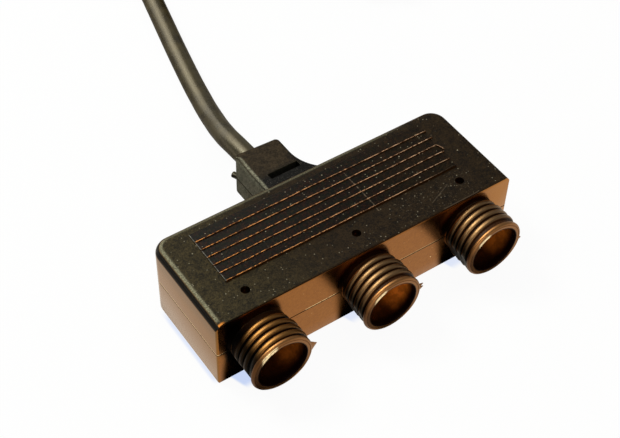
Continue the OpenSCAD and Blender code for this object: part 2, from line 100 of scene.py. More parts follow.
# The coil winds clockwise in four turns: out, in, in above, out above. Each change of turn
# is done before the turn below or beside it makes its own.
ENTRY_ANGLE = 188
EXIT_ANGLE = -2
POINT_ANGLE = 10
WOUND_ANGLE = 3 * 360 + ENTRY_ANGLE - EXIT_ANGLE
entry_point = COIL_CENTRE + TURN_RADII[0] * Vector((
    math.cos(math.radians(ENTRY_ANGLE)), math.sin(math.radians(ENTRY_ANGLE))))
coil_points = []
for wound in range(0, WOUND_ANGLE + 1, POINT_ANGLE):
    inward = eased(wound, 300, 360) - eased(wound, 900, 960)
    raised = eased(wound, 600, 660)
    radius = TURN_RADII[0] + inward * (TURN_RADII[1] - TURN_RADII[0])
    height = LAYER_HEIGHTS[0] + raised * (LAYER_HEIGHTS[1] - LAYER_HEIGHTS[0])
    angle = math.radians(ENTRY_ANGLE - wound)
    coil_points.append(Vector((
        COIL_CENTRE.x + radius * math.cos(angle),
        COIL_CENTRE.y + radius * math.sin(angle),
        height,
    )))
ends = [Vector(p) for p in run_points]
ends.append(Vector((entry_point.x, entry_point.y, LAYER_HEIGHTS[0])))
cable_points = []
for i in range(len(ends) - 1):
    near = [ends[max(i - 1, 0)], ends[i], ends[i + 1], ends[min(i + 2, len(ends) - 1)]]
    if i == 0:
        near[0] = ends[0] - (ends[1] - ends[0])
    if i == len(ends) - 2:
        near[3] = coil_points[1]
    for step in range(POINTS_BETWEEN):
        cable_points.append(between(*near, step / POINTS_BETWEEN))
cable_points += coil_points
tail_start = coil_points[-1]
for step in range(1, TAIL_POINTS + 1):
    cable_points.append(tail_start.lerp(Vector(PLUG_REAR), step / TAIL_POINTS))
cable_line = bpy.data.curves.new("cable", "CURVE")
cable_line.dimensions = "3D"
cable_line.bevel_depth = CABLE_WIDTH / 2
cable_line.bevel_resolution = 7
cable_line.use_fill_caps = True
spline = cable_line.splines.new("POLY")
spline.points.add(len(cable_points) - 1)
for point, place in zip(spline.points, cable_points):
    point.co = (*place, 1)
cable = bpy.data.objects.new("cable", cable_line)
bpy.context.scene.collection.objects.link(cable)


class Shade:
    """A socket in a material's node tree. Sums on it add the nodes that work them out."""

    def __init__(self, tree, socket=None):
        self.tree = tree
        self.socket = socket

    def node(self, kind, settings=None, inputs=None, output=0):
        made = self.tree.nodes.new(kind)
        for name, value in (settings or {}).items():
            setattr(made, name, value)
        for name, value in (inputs or {}).items():
            if isinstance(value, Shade):
                self.tree.links.new(value.socket, made.inputs[name])
            else:
                made.inputs[name].default_value = value
        return Shade(self.tree, made.outputs[output] if made.outputs else None)

    def sum(self, operation, first, second):
        return self.node("ShaderNodeMath", {"operation": operation}, {0: first, 1: second})

    def __add__(self, other):
        return self.sum("ADD", self, other)

    def __radd__(self, other):
        return self.sum("ADD", other, self)

    def __sub__(self, other):
        return self.sum("SUBTRACT", self, other)

    def __rsub__(self, other):
        return self.sum("SUBTRACT", other, self)

    def __mul__(self, other):
        return self.sum("MULTIPLY", self, other)

    def __rmul__(self, other):
        return self.sum("MULTIPLY", other, self)

    def __abs__(self):
        return self.sum("ABSOLUTE", self, 0)

    def most(self, other):
        """The larger of this and the other."""
        return self.sum("MAXIMUM", self, other)

    def parts(self):
        """The X, Y and Z of this vector."""
        return [self.node("ShaderNodeSeparateXYZ", None, {0: self}, axis) for axis in (0, 1, 2)]

    def rise(self, low, high):
        """0 below low, 1 above high."""
        return self.node("ShaderNodeMapRange", {"interpolation_type": "SMOOTHSTEP"}, {
            "Value": self, "From Min": low, "From Max": high})

    def fall(self, low, high):
        """1 below low, 0 above high."""
        return 1 - self.rise(low, high)

    def blend(self, low, high):
        """The colour low where this is 0, and high where it is 1."""
        return self.node("ShaderNodeMix", {"data_type": "RGBA"}, {0: self, 6: low, 7: high}, 2)


def seen(red, green, blue):
    """A colour given as the photograph shows it, each part from 0 to 255."""
    return (*((c / 255) ** 2.2 for c in (red, green, blue)), 1)


def new_material(name):
    """A material, a pen that adds nodes to it, and the place of each point on its piece."""
    made = bpy.data.materials.new(name)
    made.use_nodes = True
    made.node_tree.nodes.clear()
    pen = Shade(made.node_tree)
    return made, pen, pen.node("ShaderNodeTexCoord", output="Object")


def close_material(pen, inputs):
    surface = pen.node("ShaderNodeBsdfPrincipled", None, inputs)
    pen.node("ShaderNodeOutputMaterial", None, {"Surface": surface})


def clouds(place, scale, detail, roughness=0.5):
    """Uneven shares from 0 to 1 over a piece, finer with a larger scale."""
    return place.node("ShaderNodeTexNoise", None, {
        "Vector": place, "Scale": scale, "Detail": detail, "Roughness": roughness}, "Fac")


def bumps(height, strength, distance):
    """The way that a surface with this height faces."""
    return height.node("ShaderNodeBump", None, {
        "Height": height, "Strength": strength, "Distance": distance})


def paint(piece, material):
    piece.data.materials.clear()
    piece.data.materials.append(material)


jacket, pen, place = new_material("cable jacket")
smudge = clouds(place, 180, 4, 0.6)
grit = clouds(place, 2600, 2)
relief = bumps(grit + smudge * 0.6, 0.35, 0.00012)
close_material(pen, {
    "Base Color": smudge.rise(0.3, 0.7).blend(seen(42, 36, 22), seen(63, 55, 36)),
    "Roughness": 0.24 + smudge * 0.07,
    "Normal": relief,
    "Specular IOR Level": 0.5,
    "Specular Tint": (1, 0.9, 0.68, 1),
})
paint(cable, jacket)
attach(cable, "splitter")
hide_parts("cable_run", "cable_coil", "cable_tail")
for name in ("cable_entry", "plug_cable_end"):
    paint(nodes[name], jacket)


# The housing: one block of dark matt plastic moulded over the wiring. Its mould parted at half
# height. The top is spark-eroded and has a raised pad with six fine ribs and three small holes
# that the mould's core pins left.
MM = 0.001
FRONT = -18.65 * MM
BACK = FRONT + 32 * MM
HALF_LENGTH = 45 * MM
RIGHT_END = HALF_LENGTH + 0.35 * MM
HEIGHT = 22.8 * MM
BACK_CORNER_R = 4.7 * MM
TOP_EDGE_R = 2.4 * MM
FOOT_EDGE_R = 0.6 * MM
FRONT_EDGE_R = 0.35 * MM
PARTING = 11.4 * MM
PARTING_GROOVE = 0.16 * MM
SOCKETS = (-33 * MM, 0, 33 * MM)
BORE_R = 7 * MM
SOCKET_FLOOR = FRONT + 1.8 * MM
CORE_PIN_R = 1.2 * MM
CORE_PIN_Y = FRONT + 5.9 * MM
CORE_PIN_FLOOR = 18.8 * MM
SHARP_ANGLE = math.radians(35)


def add_block(name, low, high):
    """A plain block between two corners, ready to be shaped."""
    bpy.ops.object.select_all(action="DESELECT")
    low, high = Vector(low), Vector(high)
    bpy.ops.mesh.primitive_cube_add(size=1, location=(low + high) / 2, scale=high - low)
    piece = bpy.context.object
    piece.name = name
    bpy.ops.object.transform_apply(location=True, rotation=True, scale=True)
    return piece


def add_rod(name, start, end, radius, sides):
    bpy.ops.object.select_all(action="DESELECT")
    start, end = Vector(start), Vector(end)
    bpy.ops.mesh.primitive_cylinder_add(
        vertices=sides, radius=radius, depth=(end - start).length, location=(start + end) / 2,
        rotation=(end - start).to_track_quat("Z", "Y").to_euler())
    piece = bpy.context.object
    piece.name = name
    bpy.ops.object.transform_apply(location=True, rotation=True, scale=True)
    return piece


def middle(part):
    return sum((v.co for v in part.verts), Vector()) / len(part.verts)


def runs(edge):
    return (edge.verts[1].co - edge.verts[0].co).normalized()


def edit(piece, kind, chosen):
    """Opens the piece in edit mode with only the chosen edges or faces selected."""
    bpy.ops.object.select_all(action="DESELECT")
    piece.select_set(True)
    bpy.context.view_layer.objects.active = piece
    bpy.ops.object.mode_set(mode="EDIT")
    bpy.ops.mesh.select_mode(type=kind)
    bpy.ops.mesh.select_all(action="DESELECT")
    mesh = bmesh.from_edit_mesh(piece.data)
    for part in list(mesh.edges if kind == "EDGE" else mesh.faces):
        if chosen(part):
            part.select_set(True)
    bmesh.update_edit_mesh(piece.data)


def done():
    bpy.ops.object.mode_set(mode="OBJECT")


def smooth_over(piece):
    """Shades the piece smooth between its sharp edges."""
    bpy.ops.object.select_all(action="DESELECT")
    piece.select_set(True)
    bpy.context.view_layer.objects.active = piece
    bpy.ops.object.shade_smooth_by_angle(angle=SHARP_ANGLE)


def bevel(piece, radius, segments, chosen):
    edit(piece, "EDGE", chosen)
    bpy.ops.mesh.bevel(
        offset=radius, segments=segments, profile=0.5, affect="EDGES", clamp_overlap=False)
    done()


def slice_flat(piece, point, normal):
    edit(piece, "FACE", lambda face: True)
    bpy.ops.mesh.bisect(plane_co=point, plane_no=normal)
    done()


def cut_out(piece, tool):
    """Takes the tool's shape out of the piece, and the tool away."""
    cut = piece.modifiers.new("cut", "BOOLEAN")
    cut.operation = "DIFFERENCE"
    cut.solver = "MANIFOLD"
    cut.object = tool
    bpy.context.view_layer.objects.active = piece
    bpy.ops.object.modifier_apply(modifier=cut.name)
    bpy.data.objects.remove(tool)


def join(name, pieces):
    bpy.ops.object.select_all(action="DESELECT")
    for piece in pieces:
        piece.select_set(True)
    bpy.context.view_layer.objects.active = pieces[0]
    if len(pieces) > 1:
        bpy.ops.object.join()
    joined = bpy.context.object
    joined.name = name
    return joined


block = add_block("block", (-HALF_LENGTH, FRONT, 0), (RIGHT_END, BACK, HEIGHT))
bevel(block, BACK_CORNER_R, 12, lambda e: abs(runs(e).z) > 0.9 and middle(e).y > BACK - 0.1 * MM)
bevel(block, TOP_EDGE_R, 8, lambda e: all(v.co.z > HEIGHT - 0.1 * MM for v in e.verts)
      and any(v.co.y > FRONT + 0.1 * MM for v in e.verts))
bevel(block, FOOT_EDGE_R, 3, lambda e: all(v.co.z < 0.1 * MM for v in e.verts)
      and any(v.co.y > FRONT + 0.1 * MM for v in e.verts))
bevel(block, FRONT_EDGE_R, 3, lambda e: all(v.co.y < FRONT + 0.01 * MM for v in e.verts)
      and abs(runs(e).x) > 0.9)

# The front corners at both ends are drawn in to a small radius, and the parting line is a groove.
for side, end, corner_r in ((-1, HALF_LENGTH, 0.6 * MM), (1, RIGHT_END, 0.2 * MM)):
    for share in (1, 0.62, 0.29, 0.08):
        slice_flat(block, (0, FRONT + share * corner_r, 0), (0, 1, 0))
        slice_flat(block, (side * (end - share * corner_r), 0, 0), (1, 0, 0))
    for vertex in block.data.vertices:
        across = side * vertex.co.x - end + corner_r
        ahead = FRONT + corner_r - vertex.co.y
        over = math.hypot(across, ahead) / corner_r
        if across > 0 and ahead > 0 and over > 1:
            vertex.co.x = side * (end - corner_r + across / over)
            vertex.co.y = FRONT + corner_r - ahead / over
for level in (-PARTING_GROOVE, 0, PARTING_GROOVE):
    slice_flat(block, (0, 0, PARTING + level), (0, 0, 1))
for vertex in block.data.vertices:
    if abs(vertex.co.z - PARTING) < 0.02 * MM:
        vertex.co -= vertex.normal * PARTING_GROOVE
for x in SOCKETS:
    cut_out(block, add_rod(
        "socket cut", (x, FRONT - MM, PARTING), (x, SOCKET_FLOOR, PARTING), BORE_R, 96))
    cut_out(block, add_rod(
        "core pin cut", (x, CORE_PIN_Y, CORE_PIN_FLOOR), (x, CORE_PIN_Y, HEIGHT + 1.2 * MM),
        CORE_PIN_R, 24))

# The pad, its ribs, which waver a little, and the curl that the fourth rib's right end makes.
# All of them reach a little way into the block.
PAD_END = 35.6 * MM
PAD_SEAT = 22.6 * MM
PAD_TOP = 23.1 * MM
RIB_ENDS = (35.0, 35.7, 36.0, 35.6, 36.6, 36.6)
RIB_PITCH = 2.9 * MM
RIB_WIDTH = 0.34 * MM
RIB_TOP = 23.38 * MM
RIB_CREST = 23.2 * MM
RIB_STEP = 1.5 * MM
pad = add_block("pad", (-PAD_END, FRONT + 10.3 * MM, PAD_SEAT),
                (PAD_END, FRONT + 28.2 * MM, PAD_TOP))
bevel(pad, 0.12 * MM, 2, lambda e: all(v.co.z > PAD_TOP - 0.1 * MM for v in e.verts))
ribs = []
for i, rib_end in enumerate(RIB_ENDS):
    y = FRONT + 10.4 * MM + RIB_PITCH * i
    rib = add_block("rib", (-PAD_END, y, PAD_SEAT), (rib_end * MM, y + RIB_WIDTH, RIB_TOP))
    bevel(rib, 0.1 * MM, 2, lambda e: all(v.co.z > RIB_CREST for v in e.verts))
    for k in range(1, 48):
        slice_flat(rib, (-36 * MM + RIB_STEP * k, 0, 0), (1, 0, 0))
    for vertex in rib.data.vertices:
        wave = noise.noise(Vector((vertex.co.x * 160, i * 7.3, 0)))
        patchy = noise.noise(Vector((vertex.co.x * 420, i * 3.1, 5)))
        vertex.co.y += wave * 0.07 * MM
        if vertex.co.z > RIB_CREST:
            vertex.co.z += patchy * 0.06 * MM
    ribs.append(rib)
CURL_NEAR = -1.8 * MM
CURL_FAR = 0.75 * MM
curl = add_block("curl", (35.5 * MM, CURL_NEAR, PAD_SEAT), (35.75 * MM, CURL_FAR, 23.3 * MM))
for k in range(1, 6):
    slice_flat(curl, (0, CURL_NEAR + 0.42 * k * MM, 0), (0, 1, 0))
for vertex in curl.data.vertices:
    drop = (CURL_FAR - vertex.co.y) / (CURL_FAR - CURL_NEAR)
    vertex.co.x += 0.85 * math.sin(drop * math.pi / 2) * MM
ribs.append(curl)

# The boot: it flares widely into the block on its right and closely on its left, is split like
# the block, and has a pocket in its top and a hole for the cable.
BOOT_LEFT = -9.7 * MM
BOOT_RIGHT = 4.2 * MM
BOOT_LOW = 5.9 * MM
BOOT_HIGH = 19.6 * MM
BOOT_END = BACK + 16.3 * MM
BOOT_SPLIT = 12.2 * MM
FLARE_LENGTH = 10.1 * MM
FLARE_R = 12.3 * MM
FLARE_STEP = 0.75 * MM
CLOSE_FLARE_R = 1.6 * MM
boot = add_block("boot", (BOOT_LEFT, BACK - 0.6 * MM, BOOT_LOW), (BOOT_RIGHT, BOOT_END, BOOT_HIGH))
for k in range(15):
    slice_flat(boot, (0, BACK + 0.02 * MM + FLARE_STEP * k, 0), (0, 1, 0))
for vertex in boot.data.vertices:
    to_end = FLARE_LENGTH - max(vertex.co.y - BACK, 0)
    if vertex.co.x > 0 and to_end > 0:
        vertex.co.x += FLARE_R - math.sqrt(FLARE_R ** 2 - to_end ** 2)
    to_end = CLOSE_FLARE_R - max(vertex.co.y - BACK, 0)
    if vertex.co.x < -9 * MM and to_end > 0:
        vertex.co.x -= CLOSE_FLARE_R - math.sqrt(CLOSE_FLARE_R ** 2 - to_end ** 2)


def along_boot(edge):
    """Whether the edge lies level, past the boot's root."""
    return abs(runs(edge).z) < 0.1 and middle(edge).y > BACK - 0.5 * MM


def on_rim(edge):
    """Whether the edge is on the boot's top or bottom, but not across it before its end."""
    across = abs(runs(edge).x) > 0.9 and middle(edge).y < BOOT_END - 0.1 * MM
    return abs(middle(edge).z - (BOOT_LOW + BOOT_HIGH) / 2) > 6.8 * MM and not across


bevel(boot, 1.4 * MM, 5, lambda e: abs(runs(e).z) > 0.9 and middle(e).y > BOOT_END - 0.1 * MM)
bevel(boot, 1.7 * MM, 6, lambda e: along_boot(e) and middle(e).x < BOOT_LEFT + 0.1 * MM
      and middle(e).z > BOOT_HIGH - 0.1 * MM)
bevel(boot, 1.2 * MM, 5, lambda e: along_boot(e) and on_rim(e)
      and (middle(e).x > -7 * MM or middle(e).z < 6 * MM))
for level in (-PARTING_GROOVE, 0, PARTING_GROOVE):
    slice_flat(boot, (0, 0, BOOT_SPLIT + level), (0, 0, 1))
for vertex in boot.data.vertices:
    if abs(vertex.co.z - BOOT_SPLIT) < 0.02 * MM:
        vertex.co -= vertex.normal * 0.14 * MM
pocket = add_block("pocket cut", (-5.9 * MM, BACK + 3.75 * MM, 15.6 * MM),
                   (3.5 * MM, BACK + 5.8 * MM, 21 * MM))
bevel(pocket, 0.3 * MM, 2, lambda e: abs(runs(e).z) > 0.9)
cut_out(boot, pocket)
cable_x = CABLE_EXIT[0]
cut_out(boot, add_rod(
    "cable cut", (cable_x, BACK + 13 * MM, PARTING), (cable_x, BACK + 17 * MM, PARTING),
    CABLE_WIDTH / 2 + 0.05 * MM, 48))

# The stub of the mould's gate at the boot's end, and slivers of flash on the spigots' right.
gate_stub = add_rod(
    "gate stub", (-8.4 * MM, 28.2 * MM, 11.6 * MM), (-9.8 * MM, 30.6 * MM, 12 * MM), 0.9 * MM, 12)
bevel(gate_stub, 0.4 * MM, 3, lambda e: abs(runs(e).z) < 0.99 and middle(e).y > 30 * MM)
flashes = [gate_stub]
for x, angle, length, width in (
        (SOCKETS[0], 4, 1.3, 2.2), (SOCKETS[1], 2, 0.9, 0.7), (SOCKETS[1], 9, 0.9, 0.7),
        (SOCKETS[2], -8, 0.6, 0.9)):
    out = Vector((math.cos(math.radians(angle)), 0, math.sin(math.radians(angle))))
    base = Vector((x, FRONT - 10.1 * MM, PARTING)) + out * 8.2 * MM
    bpy.ops.mesh.primitive_cone_add(
        vertices=10, radius1=width * MM, radius2=0.12 * MM, depth=(length + 0.7) * MM,
        location=base + out * (length + 0.7) / 2 * MM,
        rotation=out.to_track_quat("Z", "Y").to_euler())
    piece = bpy.context.object
    bpy.ops.object.transform_apply(location=True, rotation=True, scale=True)
    for vertex in piece.data.vertices:
        vertex.co.y = base.y + (vertex.co.y - base.y) * min(1, 0.5 * MM / (width * MM))
    flashes.append(piece)


# Each spigot: a tube with a coarse screw thread of 2 mm pitch. The thread fades in by the
# block, stops short of the rounded lip, and is cut flat on both sides below the parting line.
# Outlines, and what is turned or wound from them, are in millimetres.
TUBE_R = 8.05
LIP = [
    (9.3, 8.05), (9.55, 8.5), (9.8, 8.68), (10.1, 8.72), (10.4, 8.6), (10.6, 8.35),
    (10.66, 8.12), (10.56, 8.02), (10.56, 7.95), (10.7, 7.88), (10.7, 7.06), (10.6, 7.0),
    (10.0, 7.0),
]
THREAD_SECTION = [(-0.86, 7.8), (-0.82, 8.05), (-0.74, 8.4), (-0.6, 8.7), (-0.42, 8.85),
                  (-0.18, 8.9), (0.18, 8.9), (0.42, 8.85), (0.6, 8.7), (0.74, 8.4), (0.82, 8.05),
                  (0.86, 7.8)]
THREAD_STARTS = (1.99, 1.3, 1.05)
THREAD_END = 9.1
THREAD_STEPS = 72
FADE = 0.2
PITCH = 2.0
FLAT_TILT = math.radians(20)
FLAT_REACH = 8.1 * MM
ROUND_STEPS = 96


def turned(name, outline, centre, axis=(0, -1, 0)):
    """A piece turned round an axis through centre. The outline is a closed list of distances
    along the axis and radii, in millimetres."""
    bpy.ops.object.select_all(action="DESELECT")
    centre, axis = Vector(centre), Vector(axis)
    out = Vector((0, 0, 1))
    bpy.ops.mesh.primitive_plane_add(
        size=MM, location=centre + axis * outline[0][0] * MM + out * outline[0][1] * MM)
    piece = bpy.context.object
    piece.name = name
    bpy.ops.object.transform_apply(location=True, rotation=True, scale=True)
    bpy.ops.object.mode_set(mode="EDIT")
    bpy.ops.mesh.select_mode(type="VERT")
    bpy.ops.mesh.select_all(action="SELECT")
    bpy.ops.mesh.merge(type="CENTER")
    closed = list(outline[1:]) + [outline[0]]
    before = outline[0]
    for point in closed:
        move = axis * (point[0] - before[0]) * MM + out * (point[1] - before[1]) * MM
        bpy.ops.mesh.extrude_region_move(TRANSFORM_OT_translate={"value": move})
        before = point
    bpy.ops.mesh.select_all(action="SELECT")
    bpy.ops.mesh.remove_doubles(threshold=0.001 * MM)
    bpy.ops.mesh.select_all(action="SELECT")
    bpy.ops.mesh.spin(steps=ROUND_STEPS, angle=2 * math.pi, center=centre, axis=axis)
    bpy.ops.mesh.select_all(action="SELECT")
    bpy.ops.mesh.remove_doubles(threshold=0.001 * MM)
    bpy.ops.mesh.normals_make_consistent(inside=False)
    done()
    return piece


def screw_thread(name, centre, section, start, end, root_r, inner=False):
    """A ridge wound round an axis that points to -Y from centre, from start to end in
    millimetres. Its height fades out over a fifth of a turn at both ends."""
    turns = (end - start) / PITCH
    count = int(turns * THREAD_STEPS)
    points, faces = [], []
    for i in range(count + 1):
        angle = 2 * math.pi * i / THREAD_STEPS
        along = start + PITCH * i / THREAD_STEPS
        share = min(i, count - i) / (FADE * THREAD_STEPS)
        height = eased(share, 0, 1)
        for t, r in section:
            r = root_r + (r - root_r) * height if (r > root_r) != inner else r
            points.append((
                centre[0] + r * MM * math.cos(angle),
                centre[1] - (along + t * (0.4 + 0.6 * height)) * MM,
                centre[2] + r * MM * math.sin(angle)))
    n = len(section)
    for i in range(count):
        for k in range(n):
            a, b = i * n + k, i * n + (k + 1) % n
            faces.append((a, b, b + n, a + n))
    faces.append(tuple(range(n)))
    faces.append(tuple(count * n + k for k in range(n)))
    mesh = bpy.data.meshes.new(name)
    mesh.from_pydata(points, [], faces)
    piece = bpy.data.objects.new(name, mesh)
    bpy.context.scene.collection.objects.link(piece)
    edit(piece, "FACE", lambda face: True)
    bpy.ops.mesh.normals_make_consistent(inside=False)
    done()
    return piece


spigot_parts = []
for x, thread_start in zip(SOCKETS, THREAD_STARTS):
    centre = (x, FRONT, PARTING)
    tube = turned("tube", [(-1.0, TUBE_R)] + LIP + [(-1.8, 7.0), (-1.8, TUBE_R)], centre)
    ridge = screw_thread("thread", centre, THREAD_SECTION, thread_start, THREAD_END, TUBE_R)
    for vertex in ridge.data.vertices:
        for side in (-1, 1):
            out = Vector((side * math.cos(FLAT_TILT), 0, -math.sin(FLAT_TILT)))
            reach = (vertex.co - Vector(centre)).dot(out)
            if reach > FLAT_REACH:
                vertex.co -= out * (reach - FLAT_REACH)
    spigot_parts += [tube, ridge]

housing = join("housing_shell", [block, pad, boot] + ribs + flashes + spigot_parts)
smooth_over(housing)

plastic, pen, place = new_material("housing plastic")
x, y, z = place.parts()
facing = pen.node("ShaderNodeTexCoord", output="Normal").parts()
cloud = clouds(place, 420, 3, 0.6)
mottle = clouds(place, 1300, 4, 0.7)
grain = clouds(place, 3000, 3, 0.7)
specks = None
for scale, size, share in ((480, 0.11, 0.74), (1100, 0.22, 0.66)):
    dust = pen.node("ShaderNodeTexVoronoi", None, {"Vector": place, "Scale": scale}, "Distance")
    pick = Shade(pen.tree, dust.socket.node.outputs["Color"]).parts()[0]
    spread = dust.fall(size * 0.4, size) * pick.rise(share, share + 0.25)
    specks = spread if specks is None else specks.most(spread * 0.6)


def from_nearest_axis(x):
    """How far to the right of the nearest socket's axis a place is."""
    return x.node("ShaderNodeMath", {"operation": "WRAP"}, {
        0: x, 1: SOCKETS[2] / 2, 2: -SOCKETS[2] / 2})


# Where on the moulding a point is: its top, the boot, a spigot, the wall of a socket, the pad.
upward = facing[2].rise(0.55, 0.72)
topside = facing[2].rise(0.76, 0.87)
turning = facing[2].rise(0.1, 0.25) * (1 - topside)
sloping = facing[2].rise(0.78, 0.9)
at_end = abs(facing[0]).rise(0.3, 0.6)
behind = y.rise(BACK + 0.1 * MM, BACK + 0.5 * MM)
ahead = y.fall(FRONT - 0.2 * MM, FRONT - 0.05 * MM)
from_axis = from_nearest_axis(x)
below = z - PARTING
reach = from_axis * from_axis + below * below
depth = y - FRONT + 10.7 * MM
inside = reach.fall((7.15 * MM) ** 2, (7.35 * MM) ** 2) * y.fall(FRONT + 2 * MM, FRONT + 3 * MM)
crest = reach.rise((8.4 * MM) ** 2, (8.8 * MM) ** 2)
off_edge = y.rise(FRONT + MM, FRONT + 2 * MM)
mouth = depth.fall(1.2 * MM, 1.4 * MM)
raised = z.rise(22.88 * MM, 22.95 * MM)
ridge_top = z.rise(23.15 * MM, 23.3 * MM)

# The top: spark-eroded, cloudy, olive at the left and browner at the right, with light specks.
along = x.rise(-42 * MM, -4 * MM)
deep = along.blend(seen(14, 12, 6), seen(10, 6, 4))
pale = along.blend(seen(66, 57, 37), seen(48, 37, 23))
bright = (grain.rise(0.42, 0.6) * 0.45 + mottle.rise(0.4, 0.62) * 0.33
          + cloud.rise(0.38, 0.62) * 0.22)
matt = bright.blend(deep, pale)
tint = clouds(place, 850, 2, 0.6).rise(0.4, 0.6)
pad_tone = (mottle.rise(0.38, 0.7) * grain.rise(0.36, 0.64)).blend(
    tint.blend(seen(6, 7, 2), seen(11, 5, 2)), tint.blend(seen(37, 35, 21), seen(54, 31, 20)))
pad_tone = (x.rise(4 * MM, 30 * MM) * 0.6).blend(pad_tone, matt)
matt = raised.blend(matt, pad_tone)
# The ribs are painted pale as a painted highlight, orange at the left and greyer at the right,
# broken in patches.
patchy = mottle.rise(0.42, 0.6)
rib_painted_highlight = x.rise(-40 * MM, 40 * MM).blend(seen(222, 142, 76), seen(196, 156, 124))
rib_painted_highlight = patchy.blend(seen(66, 42, 26), rib_painted_highlight)
faint = y.fall(-7.6 * MM, -7 * MM) * x.rise(12 * MM, 30 * MM) * 0.7
faint = faint + y.fall(-4.6 * MM, -4 * MM) * x.rise(26 * MM, 34 * MM) * 0.3
matt = (ridge_top * (1 - faint)).blend(matt, rib_painted_highlight)
# A painted highlight along the pad's left edge.
pad_edge_highlight = abs(x + 35.55 * MM).fall(0.1 * MM, 0.26 * MM) * raised
matt = (pad_edge_highlight * (0.35 + patchy * 0.4)).blend(matt, seen(134, 134, 126))

# The edge round the top: a painted highlight line, then a painted dark reflection above the smooth
# brown end.
top_edge_highlight = facing[2].fall(0.95, 0.998) * sloping * off_edge * (1 - raised)
top_edge_highlight = top_edge_highlight * (0.36 + x.fall(-43 * MM, -40 * MM) * 0.44) * x.fall(20 * MM, 36 * MM)
matt = (top_edge_highlight * (0.35 + grain.rise(0.38, 0.62))).blend(matt, seen(140, 135, 110))

# Two scratches, a painted highlight along the front edge of the top, and the dust on the top.
across_pad = abs(x - 9.2 * MM).fall(0.06 * MM, 0.2 * MM)
across_pad = across_pad * y.rise(-10.4 * MM, -9.4 * MM) * y.fall(5 * MM, 6 * MM) * patchy
near_hole = abs(y + 24.12 * MM - x * 0.408).fall(0.06 * MM, 0.18 * MM)
near_hole = near_hole * x.rise(22 * MM, 23 * MM) * x.fall(29 * MM, 30 * MM)
front_edge_highlight = y.fall(FRONT + 0.3 * MM, FRONT + 0.5 * MM) * x.rise(23 * MM, 24 * MM)
front_edge_highlight = front_edge_highlight * x.fall(34.5 * MM, 35 * MM)
scratches_and_edge_highlight = across_pad * 0.5 + near_hole * 0.12 + front_edge_highlight * 0.14
matt = scratches_and_edge_highlight.blend(matt, seen(150, 132, 112))
matt = (specks * 0.85).blend(matt, seen(176, 166, 142))
strewn = grain.rise(0.6, 0.68) * mottle.rise(0.5, 0.6) * y.fall(-12 * MM, -8 * MM)
strewn = strewn * x.rise(10 * MM, 18 * MM) * x.fall(33 * MM, 37 * MM)
matt = (strewn * 0.8).blend(matt, seen(150, 142, 122))

# The smooth faces, with the flash that the mould left along the parting line, painted pale as
# highlights.
smooth = mottle.rise(0.3, 0.7).blend(seen(134, 84, 34), seen(145, 93, 39))
# The ends get their own painted tone, less orange than the front's, for the light that falls on
# them, and darker towards the top.
smooth = at_end.blend(smooth, z.rise(15 * MM, 20 * MM).blend(seen(132, 93, 47), seen(118, 86, 48)))
line = abs(below).fall(0.05 * MM, 0.2 * MM)
flash = abs(below - 0.1 * MM).fall(0.16 * MM, 0.32 * MM)
flash = flash * mottle.rise(0.34, 0.46) * grain.rise(0.3, 0.45)
flash = flash * (x.rise(-20 * MM, -19 * MM) * x.fall(-10.5 * MM, -9.5 * MM)
                 + x.rise(9.5 * MM, 10.5 * MM) * x.fall(22.5 * MM, 23.5 * MM) * 0.45
                 + x.fall(-43 * MM, -42 * MM))
smooth = (line * 0.35).blend(smooth, seen(30, 18, 10))
smooth = flash.blend(smooth, seen(250, 214, 160))
sparks = specks.rise(0.45, 0.8) * x.rise(-22 * MM, -20 * MM) * (1 - at_end)
smooth = sparks.blend(smooth, seen(250, 214, 160))
smooth = (x.rise(30 * MM, 44 * MM) * (1 - at_end)).blend(smooth, seen(160, 108, 52))
# A painted dark reflection on the front face beside the left spigot, towards the left corner.
painted_dark_reflection = x.rise(-43.2 * MM, -42 * MM) * x.fall(-39 * MM, -37 * MM) * z.rise(4 * MM, 8 * MM)
painted_dark_reflection = painted_dark_reflection * (1 - off_edge)
smooth = (painted_dark_reflection * (1 - at_end) * 0.9).blend(smooth, seen(10, 5, 2))
# A painted dark reflection on the rounded edges between the top and the smooth faces.
smooth = turning.blend(smooth, seen(17, 15, 11))
# A painted orange glint at the front-left corner of the top.
glint = x.fall(-43.4 * MM, -42 * MM) * y.fall(FRONT + 0.4 * MM, FRONT + 0.9 * MM)
glint = glint * z.rise(22 * MM, 22.4 * MM)
skin = topside.blend(smooth, glint.blend(matt, seen(226, 140, 60)))

# The boot: dull, its sides painted a lighter olive-grey than its top for the light they get, with
# painted shade close to the block and in the flare, and a painted highlight on its top-left edge.
painted_shade_by_block = y.fall(BACK + 4 * MM, BACK + 7.5 * MM)
in_flare = x.rise(1 * MM, 5 * MM) * y.fall(BACK + 8 * MM, BACK + 12 * MM)
painted_shade_by_block = painted_shade_by_block.most(in_flare)
sides = bright.blend(seen(54, 53, 44), seen(108, 106, 92))
crown = bright.blend(seen(18, 13, 7), seen(65, 54, 40))
crown = painted_shade_by_block.blend(crown, grain.rise(0.55, 0.68).blend(seen(8, 7, 6), seen(70, 66, 62)))
boot_edge_highlight = facing[2].fall(0.93, 0.998) * facing[2].rise(0.66, 0.88) * x.fall(-7.6 * MM, -7 * MM)
crown = (boot_edge_highlight * (0.25 + grain.rise(0.38, 0.62) * 0.75)).blend(crown, seen(138, 135, 116))
split = abs(z - BOOT_SPLIT).fall(0.16 * MM, 0.36 * MM)
sides = (split * 0.9).blend(sides, seen(10, 9, 7))
skin = behind.blend(skin, upward.blend(sides, crown))
